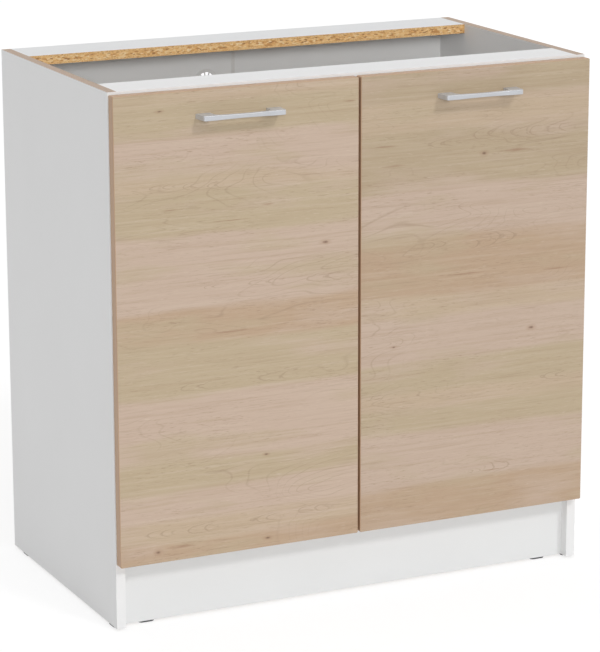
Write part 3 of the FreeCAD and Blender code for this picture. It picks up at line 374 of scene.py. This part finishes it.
def decor(name, staves, knots, spindles, loops, seed, shade):
    """A door: the print on both faces, and plain brown banding round the edges."""
    g = Graph(name, roughness=0.45)
    tones, dash, streak = print_of(g, staves, knots, spindles, loops, seed, shade)
    face = g.over(g.away(g.ny), 0.80)
    edge_grain = g.noise(stretched(g, 260.0, 900.0, 12.0), 1.0, 3.0)
    edging = g.mix(g.span(edge_grain, 0.3, 0.7), tone(178, 144, 114), tone(192, 158, 127))
    chip_colour, _ = chips(g, 1, (DOOR_FRONT_Y + DOOR_BACK_Y) / 2)
    sides = g.math("MAXIMUM", g.over(g.away(g.x), HALF_WIDTH - BAND_OUTER),
                   g.under(g.away(g.x), BAND_INNER))
    ends = g.math("MAXIMUM", g.over(g.z, DOOR_TOP - BAND_END),
                  g.under(g.z, DOOR_BOTTOM + BAND_END))
    rim = g.mix(g.math("MAXIMUM", sides, ends), chip_colour, edging)
    colour = g.mix(face, rim, tones)
    rough = g.span(g.add(dash, g.times(streak, 0.4)), 0.0, 1.0, 0.40, 0.56)
    bump = g.add(g.times(dash, -0.6), g.times(streak, 0.25))
    return g.paint(colour, rough, bump, 0.0001, 0.4)


# ---- Other materials ---------------------------------------------------------------------
def hardboard():
    """Back sheets: lacquered white inside, made whiter than the boards as painted light on the
    shaded interior; raw brown fibre with a screen mark outside.
    """
    g = Graph("Back_sheet", roughness=0.5)
    # The inner face's white is set above the boards' white so that the shaded interior reads
    # lighter: painted light.
    face_colour, speck, cloud = melamine(g, tone(246, 247, 247))
    fibre = g.noise(stretched(g, 420.0, 420.0, 420.0), 1.0, 4.0, 0.65, 1.2)
    mesh_x = g.math("SINE", g.times(g.x, 2400.0))
    mesh_z = g.math("SINE", g.times(g.z, 2400.0))
    screen = g.times(g.add(g.times(mesh_x, mesh_z), 1.0), 0.5)
    brown = g.ramp(g.add(g.times(fibre, 0.8), g.times(screen, 0.2)),
                   ((0.25, tone(104, 74, 48)), (0.5, tone(142, 106, 72)),
                    (0.8, tone(172, 136, 98))))
    inner = g.under(g.ny, -0.7)
    colour = g.mix(inner, brown, face_colour)
    rough = g.span(g.add(inner, g.times(cloud, -0.1)), 0.0, 1.0, 0.82, 0.40)
    bump = g.mix(inner, g.grey(g.add(g.times(screen, 0.6), g.times(fibre, 0.4))),
                 g.grey(g.times(speck, 0.1)))
    return g.paint(colour, rough, bump, 0.0002, 0.7)


def plastic(name, dark, light, rough):
    """Moulded plastic: an even tone with a fine spark-eroded grain."""
    g = Graph(name, roughness=rough)
    grain = g.noise(g.place, 1040.0, 3.0, 0.6)
    cloud = g.noise(g.place, 22.0, 2.0)
    blend = g.add(g.times(grain, 0.5), g.times(cloud, 0.5))
    colour = g.ramp(blend, ((0.35, dark), (0.65, light)))
    rough_map = g.span(grain, 0.3, 0.7, rough - 0.07, rough + 0.07)
    return g.paint(colour, rough_map, grain, 0.00008, 0.4)


def metal(name, dark, light, rough, lay, depth=0.00003):
    """Metal with a fine brushed or cast finish; the lay gives its scale along each axis."""
    g = Graph(name, metallic=1.0, roughness=rough)
    brush = g.noise(stretched(g, *lay), 1.0, 3.0, 0.6)
    cloud = g.noise(g.place, 35.0, 3.0)
    blend = g.add(g.times(brush, 0.55), g.times(cloud, 0.45))
    colour = g.ramp(blend, ((0.35, dark), (0.65, light)))
    rough_map = g.span(g.add(g.times(brush, 0.6), g.times(cloud, 0.4)), 0.3, 0.7,
                       rough - 0.06, rough + 0.10)
    return g.paint(colour, rough_map, brush, depth, 0.5)


def satin_lacquer():
    """The handles' silver lacquer: fine metal flakes in a satin coat."""
    g = Graph("Silver_lacquer", roughness=0.38, metallic=0.35)
    flake = g.noise(g.place, 2600.0, 2.0, 0.6)
    cloud = g.noise(g.place, 30.0, 2.0)
    colour = g.ramp(g.add(g.times(flake, 0.6), g.times(cloud, 0.4)),
                    ((0.35, tone(188, 190, 194)), (0.65, tone(206, 208, 212))))
    return g.paint(colour, g.span(flake, 0.3, 0.7, 0.33, 0.43), flake, 0.00003, 0.35)


def beech():
    """The dowels' wood, with its grain along X."""
    g = Graph("Beech_dowel", roughness=0.7)
    grain = g.noise(stretched(g, 60.0, 1200.0, 1200.0), 1.0, 4.0, 0.6)
    colour = g.ramp(grain, ((0.3, tone(186, 142, 92)), (0.7, tone(222, 184, 134))))
    return g.paint(colour, None, grain, 0.0001, 0.6)


def rubber():
    """The clear, slightly hazy plastic of the door bumpers."""
    g = Graph("Soft_bumper", roughness=0.35)
    g.shader.inputs["Transmission Weight"].default_value = 0.55
    g.shader.inputs["IOR"].default_value = 1.45
    haze = g.noise(g.place, 500.0, 2.0)
    colour = g.ramp(haze, ((0.3, tone(206, 206, 198)), (0.7, tone(232, 232, 226))))
    return g.paint(colour, g.span(haze, 0.3, 0.7, 0.28, 0.42), haze, 0.00005, 0.3)


nickel = metal("Nickel_steel", tone(178, 174, 168), tone(214, 211, 205), 0.28,
               (220.0, 220.0, 900.0))
zinc = metal("Zinc_screw", tone(176, 177, 178), tone(214, 214, 212), 0.32,
             (500.0, 500.0, 500.0))
casting = metal("Zinc_casting", tone(140, 141, 143), tone(178, 178, 180), 0.48,
                (420.0, 420.0, 420.0), 0.0001)
pins = metal("Steel_pin", tone(170, 170, 172), tone(208, 208, 208), 0.22,
             (600.0, 600.0, 60.0))
lacquer = satin_lacquer()
white_plastic = plastic("White_plastic", tone(232, 232, 230), tone(242, 242, 241), 0.35)
dark_plastic = plastic("Dark_plastic", tone(58, 58, 60), tone(84, 84, 86), 0.55)

finishes = {
    "left_side_panel": board("Side_board_left", 0, -SIDE_MIDDLE, pale=0.88),
    "right_side_panel": board("Side_board_right", 0, SIDE_MIDDLE, pale=0.88),
    "bottom_panel": board("Bottom_board", 2, BOTTOM_AXIS),
    "front_top_rail": board("Front_rail_board", 2, RAIL_AXIS),
    # The rear rail is the same white melamine as the other boards, set darker: painted shade.
    "rear_top_rail": board("Rear_rail_board", 2, RAIL_AXIS, banded=False,
                           base=tone(228, 229, 230)),
    "plinth_board": board("Plinth_board", 1, PLINTH_MIDDLE, banded=False,
                          base=tone(231, 232, 232)),
    "left_door_panel": decor("Door_decor_left", LEFT_STAVES, LEFT_KNOTS, LEFT_SPINDLES,
                             LEFT_LOOPS, 1.7, 1.0),
    "right_door_panel": decor("Door_decor_right", RIGHT_STAVES, RIGHT_KNOTS, RIGHT_SPINDLES,
                              RIGHT_LOOPS, 23.4, 0.97),
    "vent_grille": white_plastic,
    "back_joining_strip": white_plastic,
    "side_panel_glides": dark_plastic,
    "plinth_glides": dark_plastic,
    "cam_housings": casting,
    "cam_bolts": zinc,
    "wooden_dowels": beech(),
}
back_sheet = hardboard()
soft = rubber()
finishes["back_panel_left"] = back_sheet
finishes["back_panel_right"] = back_sheet
for side in ("left", "right"):
    finishes[side + "_handle"] = lacquer
    finishes[side + "_door_bumpers"] = soft
    for piece in ("handle_screws", "arm_screws", "plate_screws", "cup_screws"):
        finishes[side + "_" + piece] = zinc
    for piece in ("arm_pins", "cup_pins"):
        finishes[side + "_" + piece] = pins
    for level in ("lower", "upper"):
        for piece in ("mounting_plate", "hinge_arm", "inner_link", "outer_link", "hinge_cup"):
            finishes[side + "_" + level + "_" + piece] = nickel

for node, material in finishes.items():
    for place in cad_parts[node].material_slots:
        place.material = material


# ---- Small fasteners ---------------------------------------------------------------------
def mesh_object(name, mesh, material, body):
    """A new piece of the scene that rides on a body, with its material in one slot."""
    piece = bpy.data.objects.new(name, mesh)
    bpy.context.collection.objects.link(piece)
    piece.data.materials.clear()
    piece.data.materials.append(material)
    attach(piece, body)
    return piece


def lathe(profile, segments=28):
    """A closed turned body about Z from (radius, height) points, both ends on the axis."""
    bm = bmesh.new()
    rings = []
    for radius, height in profile:
        if radius < 1e-7:
            rings.append([bm.verts.new((0, 0, height))])
            continue
        rings.append([bm.verts.new((radius * math.cos(2 * math.pi * n / segments),
                                    radius * math.sin(2 * math.pi * n / segments), height))
                      for n in range(segments)])
    for low, high in zip(rings, rings[1:]):
        for n in range(segments):
            m = (n + 1) % segments
            corners = [low[n % len(low)], low[m % len(low)], high[m % len(high)],
                       high[n % len(high)]]
            unique = list(dict.fromkeys(corners))
            bm.faces.new(unique)
    bmesh.ops.recalc_face_normals(bm, faces=bm.faces)
    mesh = bpy.data.meshes.new("turned")
    bm.to_mesh(mesh)
    bm.free()
    return mesh


def cross_cutter(reach, width, depth, top):
    """Two tapered blades that cut a cross recess into a head."""
    bm = bmesh.new()
    for turn in (0.0, math.pi / 2):
        made = bmesh.ops.create_cube(bm, size=1.0)["verts"]
        for vert in made:
            low = vert.co.z < 0
            half = reach * (0.45 if low else 1.0)
            x = math.copysign(half, vert.co.x)
            y = math.copysign(width / 2 * (0.7 if low else 1.0), vert.co.y)
            z = top - depth if low else top + depth
            vert.co = Matrix.Rotation(turn, 3, "Z") @ Vector((x, y, z))
    mesh = bpy.data.meshes.new("cutter")
    bm.to_mesh(mesh)
    bm.free()
    return mesh


def screw_mesh(head_radius, head_height, shank_radius, shank_length):
    """A pan-head screw along Z with its bearing face at the origin: a domed head with a
    cross recess, and a threaded shank below."""
    dome = []
    for n in range(7):
        angle = math.pi / 2 * n / 6
        dome.append((head_radius - head_height * 0.6 * (1 - math.cos(angle)),
                     head_height * (0.4 + 0.6 * math.sin(angle))))
    core = shank_radius * 0.82
    pitch = shank_radius * 0.55
    thread = []
    height = -shank_length + shank_radius
    while height < -pitch:
        thread += [(core, height), (shank_radius * 0.99, height + pitch / 2)]
        height += pitch
    profile = [(0.0, -shank_length), (core * 0.5, -shank_length)] + thread
    profile += [(core, -pitch * 0.4), (core, 0.0), (head_radius, 0.0)]
    profile += dome + [(0.0, head_height)]
    head = bpy.data.objects.new("head", lathe(profile))
    cutter = bpy.data.objects.new("cut", cross_cutter(head_radius * 0.58, head_radius * 0.24,
                                                      head_height * 0.62, head_height))
    for item in (head, cutter):
        bpy.context.collection.objects.link(item)
    cut = head.modifiers.new("recess", "BOOLEAN")
    cut.operation = "DIFFERENCE"
    cut.object = cutter
    cut.solver = "EXACT"
    cut.use_self = True           # the cutter's two blades cross each other
    bpy.context.view_layer.update()
    shape = head.evaluated_get(bpy.context.evaluated_depsgraph_get())
    mesh = bpy.data.meshes.new_from_object(shape)
    for item in (head, cutter):
        bpy.data.objects.remove(item)
    return mesh


def joined(name, mesh, places):
    """One mesh from copies of a mesh at several 4x4 places."""
    bm = bmesh.new()
    for place in places:
        copy = mesh.copy()
        copy.transform(place)
        bm.from_mesh(copy)
        bpy.data.meshes.remove(copy)
    out = bpy.data.meshes.new(name)
    bm.to_mesh(out)
    bm.free()
    for face in out.polygons:
        face.use_smooth = True
    out.set_sharp_from_angle(angle=math.radians(35))
    return out


def facing(point, direction, turn):
    """A place whose Z axis looks along a direction, turned about it."""
    spin = Matrix.Rotation(turn, 4, "Z")
    look = Vector(direction).to_track_quat("Z", "Y").to_matrix().to_4x4()
    return Matrix.Translation(point) @ look @ spin


# Where the screws' heads bear, in the cabinet's frame; x is measured from the middle plane.
HANDLE_X = 0.2005
HANDLE_Z = 0.7825
HANDLE_SCREW_REACH = 0.057    # from the handle's middle to a screw
ARM_SCREW_X = 0.370
ARM_SCREWS_Y = (FRONT_Y + 0.058, FRONT_Y + 0.041)
PLATE_SCREW_X = 0.3832
PLATE_SCREW_Y = FRONT_Y + 0.037
PLATE_SCREW_REACH = 0.016     # above and below the hinge's level
CUP_SCREW_X = 0.3715
CUP_SCREW_Y = FRONT_Y - 0.0012
CUP_SCREW_REACH = 0.024

# Head radius and height, shank radius and length.
SCREWS = {
    "handle_screws": (0.0040, 0.0022, 0.0020, 0.0280),
    "arm_screws": (0.0042, 0.0022, 0.0025, 0.0132),
    "plate_screws": (0.0040, 0.0016, 0.0024, 0.0128),
    "cup_screws": (0.0035, 0.0014, 0.00175, 0.0118),
}
for side, sign in (("left", -1), ("right", 1)):
    inward = (-sign, 0, 0)
    back = (0, 1, 0)
    seats = {key: [] for key in SCREWS}
    for step in (-HANDLE_SCREW_REACH, HANDLE_SCREW_REACH):
        seats["handle_screws"].append(((HANDLE_X * sign + step, DOOR_BACK_Y, HANDLE_Z), back))
    for z in HINGE_LEVELS:
        for y in ARM_SCREWS_Y:
            seats["arm_screws"].append(((ARM_SCREW_X * sign, y, z), inward))
        for step in (-PLATE_SCREW_REACH, PLATE_SCREW_REACH):
            seats["plate_screws"].append(((PLATE_SCREW_X * sign, PLATE_SCREW_Y, z + step),
                                          inward))
        for step in (-CUP_SCREW_REACH, CUP_SCREW_REACH):
            seats["cup_screws"].append(((CUP_SCREW_X * sign, CUP_SCREW_Y, z + step), back))
    for key, sizes in SCREWS.items():
        body = side + "_door" if key in ("handle_screws", "cup_screws") else "carcass"
        master = screw_mesh(*sizes)
        places = [facing(point, direction, 0.35 + 0.7 * n)
                  for n, (point, direction) in enumerate(seats[key])]
        mesh = joined(side + "_" + key + "_detail", master, places)
        piece = mesh_object(side + "_" + key + "_detail", mesh, zinc, body)
        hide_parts(side + "_" + key)


SIDE_NAILS = 8
LOWEST_NAIL = 0.140
SIDE_NAIL_PITCH = 0.0925
ACROSS_NAILS = (-0.29, -0.19, -0.09, 0.09, 0.19, 0.29)
RAIL_NAIL_Z = RAIL_AXIS - 0.001


def nail_places():
    """Nails round the edge of the back, into the sides, the bottom panel and the rail."""
    places = []
    for x in (-SIDE_MIDDLE, SIDE_MIDDLE):
        for n in range(SIDE_NAILS):
            places.append((x, BACK_FACE_Y, LOWEST_NAIL + n * SIDE_NAIL_PITCH))
    for x in ACROSS_NAILS:
        places.append((x, BACK_FACE_Y, BOTTOM_AXIS))
        places.append((x, BACK_FACE_Y, RAIL_NAIL_Z))
    return places


nail = lathe([(0.0, -0.0010), (0.0017, -0.0010), (0.0017, 0.0002), (0.0013, 0.00045),
              (0.0006, 0.00058), (0.0, 0.0006)], 16)
nails = joined("back_nails", nail,
               [facing(point, (0, 1, 0), 0.0) for point in nail_places()])
mesh_object("back_nails", nails, zinc, "carcass")


# ---- Floor, light and camera -------------------------------------------------------------
FLOOR_SIZE = 20.0
FLOOR_DROP = 0.0002           # below the cabinet's glides
FLOOR_SEEN = (0.30, 0.30, 0.30, 1.0)
FLOOR_GLOW = 0.74             # seen by the camera, mirrors and clear plastic; lights nothing
WORLD_LIGHT = 0.46            # what the world lights the cabinet with
WORLD_SEEN = 1.0              # what the camera, mirrors and clear plastic see
SUNS = (                      # name, direction, strength, angle in degrees
    ("Key", (-0.35, 1.0, -0.90), 0.78, 10),
    ("Fill", (0.37, 1.0, -0.27), 0.88, 12),
    ("Overhead", (0.0, -0.15, -1.0), 0.45, 30),
)
SENSOR = 36.0
FOCAL_PIXELS = 2941.1         # focal length in pixels of the photograph
PHOTO_HEIGHT = 652
CAMERA_PLACE = (-1.9534, -4.1180, 1.5419)
CAMERA_TURN = (25.429, 14.231, -0.146)    # yaw, pitch and roll in degrees


def floor_material():
    """A pale floor that the camera sees as white, with the cabinet's soft shadow kept."""
    g = Graph("Floor", roughness=0.95)
    rays = g.tree.nodes.new("ShaderNodeLightPath")
    seen = g.math("MAXIMUM", rays.outputs["Is Camera Ray"],
                  g.math("MAXIMUM", rays.outputs["Is Glossy Ray"],
                         rays.outputs["Is Transmission Ray"]))
    grain = g.noise(g.place, 3.0, 2.0)
    pale = g.ramp(grain, ((0.3, tone(226, 226, 226)), (0.7, tone(230, 230, 230))))
    colour = g.mix(seen, pale, FLOOR_SEEN)
    g.tree.links.new(colour, g.shader.inputs["Base Color"])
    g.shader.inputs["Emission Color"].default_value = (1, 1, 1, 1)
    g.tree.links.new(g.times(seen, FLOOR_GLOW), g.shader.inputs["Emission Strength"])
    return g.material


bm = bmesh.new()
bmesh.ops.create_grid(bm, x_segments=4, y_segments=4, size=FLOOR_SIZE)
floor_mesh = bpy.data.meshes.new("floor")
bm.to_mesh(floor_mesh)
bm.free()
floor = bpy.data.objects.new("floor", floor_mesh)
bpy.context.collection.objects.link(floor)
floor.data.materials.append(floor_material())
floor.location = (0, 0, -FLOOR_DROP)

scene = bpy.context.scene
world = bpy.data.worlds.new("Studio")
world.use_nodes = True
scene.world = world
tree = world.node_tree
background = tree.nodes["Background"]
background.inputs["Color"].default_value = (1, 1, 1, 1)
rays = tree.nodes.new("ShaderNodeLightPath")
direct = rays.outputs["Is Camera Ray"]
for ray in ("Is Transmission Ray", "Is Glossy Ray"):
    most = tree.nodes.new("ShaderNodeMath")
    most.operation = "MAXIMUM"
    tree.links.new(direct, most.inputs[0])
    tree.links.new(rays.outputs[ray], most.inputs[1])
    direct = most.outputs[0]
level = tree.nodes.new("ShaderNodeMapRange")
level.inputs[3].default_value = WORLD_LIGHT
level.inputs[4].default_value = WORLD_SEEN
tree.links.new(direct, level.inputs[0])
tree.links.new(level.outputs[0], background.inputs["Strength"])

for name, direction, strength, spread in SUNS:
    data = bpy.data.lights.new(name, "SUN")
    data.energy = strength
    data.angle = math.radians(spread)
    lamp = bpy.data.objects.new(name, data)
    bpy.context.collection.objects.link(lamp)
    lamp.rotation_mode = "QUATERNION"
    lamp.rotation_quaternion = Vector(direction).to_track_quat("-Z", "Y")

camera_data = bpy.data.cameras.new("Camera")
camera_data.sensor_width = SENSOR
camera_data.lens = FOCAL_PIXELS / PHOTO_HEIGHT * SENSOR
camera = bpy.data.objects.new("Camera", camera_data)
bpy.context.collection.objects.link(camera)
yaw, pitch, roll = (math.radians(v) for v in CAMERA_TURN)
look = Vector((math.sin(yaw) * math.cos(pitch), math.cos(yaw) * math.cos(pitch),
               -math.sin(pitch)))
right = Vector((math.cos(yaw), -math.sin(yaw), 0.0))
up = right.cross(look)
side_axis = right * math.cos(roll) + up * math.sin(roll)
up_axis = -right * math.sin(roll) + up * math.cos(roll)
turn = Matrix((side_axis, up_axis, -look)).transposed().to_4x4()
camera.matrix_world = Matrix.Translation(CAMERA_PLACE) @ turn
scene.camera = camera

scene.view_settings.view_transform = "Standard"
